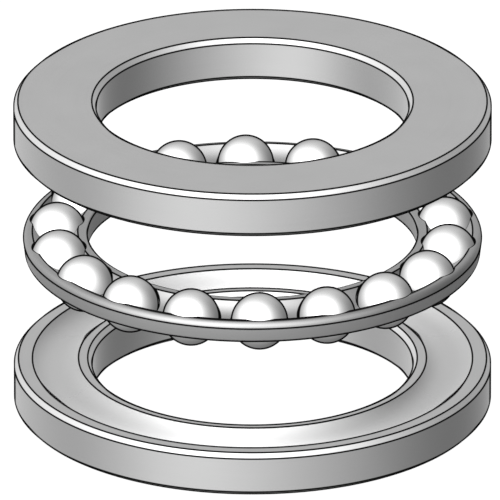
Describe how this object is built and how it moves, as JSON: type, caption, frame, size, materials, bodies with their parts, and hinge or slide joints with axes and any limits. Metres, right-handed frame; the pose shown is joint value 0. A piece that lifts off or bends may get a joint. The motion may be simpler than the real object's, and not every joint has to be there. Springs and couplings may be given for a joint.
{
  "type": "thrust ball bearing",
  "caption": "Single-direction thrust ball bearing: two grooved steel washers and a caged ring of balls, drawn apart along the axis; it closes up and turns.",
  "frame": {"origin": "centre of the housing washer's flat seat face, on the bearing's axis", "axes": "+Z along the bearing's axis, from the housing washer towards the shaft washer; -Y is the front"},
  "size_m": [0.1, 0.1, 0.068],
  "materials": {
    "washer_steel": "ground bearing steel with superfinished raceways",
    "cage_steel": "pressed sheet steel, satin",
    "ball_steel": "lapped and polished bearing steel",
    "grease": "clear grease film"
  },
  "bodies": {
    "housing_washer": {"housing_washer": "washer_steel"},
    "housing_raceway_film": {"housing_raceway_film": "grease"},
    "cage": {"cage": "cage_steel"},
    "ball_01": {"ball_01": "ball_steel"},
    "ball_02": {"ball_02": "ball_steel"},
    "ball_03": {"ball_03": "ball_steel"},
    "ball_04": {"ball_04": "ball_steel"},
    "ball_05": {"ball_05": "ball_steel"},
    "ball_06": {"ball_06": "ball_steel"},
    "ball_07": {"ball_07": "ball_steel"},
    "ball_08": {"ball_08": "ball_steel"},
    "ball_09": {"ball_09": "ball_steel"},
    "ball_10": {"ball_10": "ball_steel"},
    "ball_11": {"ball_11": "ball_steel"},
    "ball_12": {"ball_12": "ball_steel"},
    "ball_13": {"ball_13": "ball_steel"},
    "ball_14": {"ball_14": "ball_steel"},
    "ball_15": {"ball_15": "ball_steel"},
    "ball_16": {"ball_16": "ball_steel"},
    "ball_17": {"ball_17": "ball_steel"},
    "ball_18": {"ball_18": "ball_steel"},
    "shaft_raceway_film": {"shaft_raceway_film": "grease"},
    "shaft_washer": {"shaft_washer": "washer_steel"}
  },
  "joints": [
    {"name": "cage_spin", "type": "hinge", "parent": "housing_washer", "child": "housing_raceway_film", "pos_m": [0, 0, 0.0135], "axis": [0, 0, 1], "continuous": true},
    {"name": "cage_lift", "type": "slide", "parent": "housing_raceway_film", "child": "cage", "axis": [0, 0, 1], "range_m": [-0.0225, 0]},
    {"name": "shaft_washer_lift", "type": "slide", "parent": "cage", "child": "shaft_raceway_film", "axis": [0, 0, 1], "range_m": [-0.0185, 0]},
    {"name": "shaft_washer_spin", "type": "hinge", "parent": "shaft_raceway_film", "child": "shaft_washer", "pos_m": [0, 0, 0.068], "axis": [0, 0, 1], "continuous": true},
    {"name": "ball_01_spin", "type": "hinge", "parent": "cage", "child": "ball_01", "pos_m": [0.00144, -0.04122, 0.036], "axis": [0.0349, -0.9994, 0], "continuous": true},
    {"name": "ball_02_spin", "type": "hinge", "parent": "cage", "child": "ball_02", "pos_m": [0.01545, -0.03825, 0.036], "axis": [0.3746, -0.9272, 0], "continuous": true},
    {"name": "ball_03_spin", "type": "hinge", "parent": "cage", "child": "ball_03", "pos_m": [0.0276, -0.03065, 0.036], "axis": [0.6691, -0.7431, 0], "continuous": true},
    {"name": "ball_04_spin", "type": "hinge", "parent": "cage", "child": "ball_04", "pos_m": [0.03642, -0.01937, 0.036], "axis": [0.8829, -0.4695, 0], "continuous": true},
    {"name": "ball_05_spin", "type": "hinge", "parent": "cage", "child": "ball_05", "pos_m": [0.04085, -0.00574, 0.036], "axis": [0.9903, -0.1392, 0], "continuous": true},
    {"name": "ball_06_spin", "type": "hinge", "parent": "cage", "child": "ball_06", "pos_m": [0.04035, 0.00858, 0.036], "axis": [0.9781, 0.2079, 0], "continuous": true},
    {"name": "ball_07_spin", "type": "hinge", "parent": "cage", "child": "ball_07", "pos_m": [0.03498, 0.02186, 0.036], "axis": [0.848, 0.5299, 0], "continuous": true},
    {"name": "ball_08_spin", "type": "hinge", "parent": "cage", "child": "ball_08", "pos_m": [0.0254, 0.03251, 0.036], "axis": [0.6157, 0.788, 0], "continuous": true},
    {"name": "ball_09_spin", "type": "hinge", "parent": "cage", "child": "ball_09", "pos_m": [0.01275, 0.03923, 0.036], "axis": [0.309, 0.9511, 0], "continuous": true},
    {"name": "ball_10_spin", "type": "hinge", "parent": "cage", "child": "ball_10", "pos_m": [-0.00144, 0.04122, 0.036], "axis": [-0.0349, 0.9994, 0], "continuous": true},
    {"name": "ball_11_spin", "type": "hinge", "parent": "cage", "child": "ball_11", "pos_m": [-0.01545, 0.03825, 0.036], "axis": [-0.3746, 0.9272, 0], "continuous": true},
    {"name": "ball_12_spin", "type": "hinge", "parent": "cage", "child": "ball_12", "pos_m": [-0.0276, 0.03065, 0.036], "axis": [-0.6691, 0.7431, 0], "continuous": true},
    {"name": "ball_13_spin", "type": "hinge", "parent": "cage", "child": "ball_13", "pos_m": [-0.03642, 0.01937, 0.036], "axis": [-0.8829, 0.4695, 0], "continuous": true},
    {"name": "ball_14_spin", "type": "hinge", "parent": "cage", "child": "ball_14", "pos_m": [-0.04085, 0.00574, 0.036], "axis": [-0.9903, 0.1392, 0], "continuous": true},
    {"name": "ball_15_spin", "type": "hinge", "parent": "cage", "child": "ball_15", "pos_m": [-0.04035, -0.00858, 0.036], "axis": [-0.9781, -0.2079, 0], "continuous": true},
    {"name": "ball_16_spin", "type": "hinge", "parent": "cage", "child": "ball_16", "pos_m": [-0.03498, -0.02186, 0.036], "axis": [-0.848, -0.5299, 0], "continuous": true},
    {"name": "ball_17_spin", "type": "hinge", "parent": "cage", "child": "ball_17", "pos_m": [-0.0254, -0.03251, 0.036], "axis": [-0.6157, -0.788, 0], "continuous": true},
    {"name": "ball_18_spin", "type": "hinge", "parent": "cage", "child": "ball_18", "pos_m": [-0.01275, -0.03923, 0.036], "axis": [-0.309, -0.9511, 0], "continuous": true}
  ],
  "couplings": [
    {"joint": "shaft_washer_spin", "follows": "cage_spin", "ratio": 1},
    {"joint": "ball_01_spin", "follows": "cage_spin", "ratio": -6.875},
    {"joint": "ball_02_spin", "follows": "cage_spin", "ratio": -6.875},
    {"joint": "ball_03_spin", "follows": "cage_spin", "ratio": -6.875},
    {"joint": "ball_04_spin", "follows": "cage_spin", "ratio": -6.875},
    {"joint": "ball_05_spin", "follows": "cage_spin", "ratio": -6.875},
    {"joint": "ball_06_spin", "follows": "cage_spin", "ratio": -6.875},
    {"joint": "ball_07_spin", "follows": "cage_spin", "ratio": -6.875},
    {"joint": "ball_08_spin", "follows": "cage_spin", "ratio": -6.875},
    {"joint": "ball_09_spin", "follows": "cage_spin", "ratio": -6.875},
    {"joint": "ball_10_spin", "follows": "cage_spin", "ratio": -6.875},
    {"joint": "ball_11_spin", "follows": "cage_spin", "ratio": -6.875},
    {"joint": "ball_12_spin", "follows": "cage_spin", "ratio": -6.875},
    {"joint": "ball_13_spin", "follows": "cage_spin", "ratio": -6.875},
    {"joint": "ball_14_spin", "follows": "cage_spin", "ratio": -6.875},
    {"joint": "ball_15_spin", "follows": "cage_spin", "ratio": -6.875},
    {"joint": "ball_16_spin", "follows": "cage_spin", "ratio": -6.875},
    {"joint": "ball_17_spin", "follows": "cage_spin", "ratio": -6.875},
    {"joint": "ball_18_spin", "follows": "cage_spin", "ratio": -6.875}
  ]
}
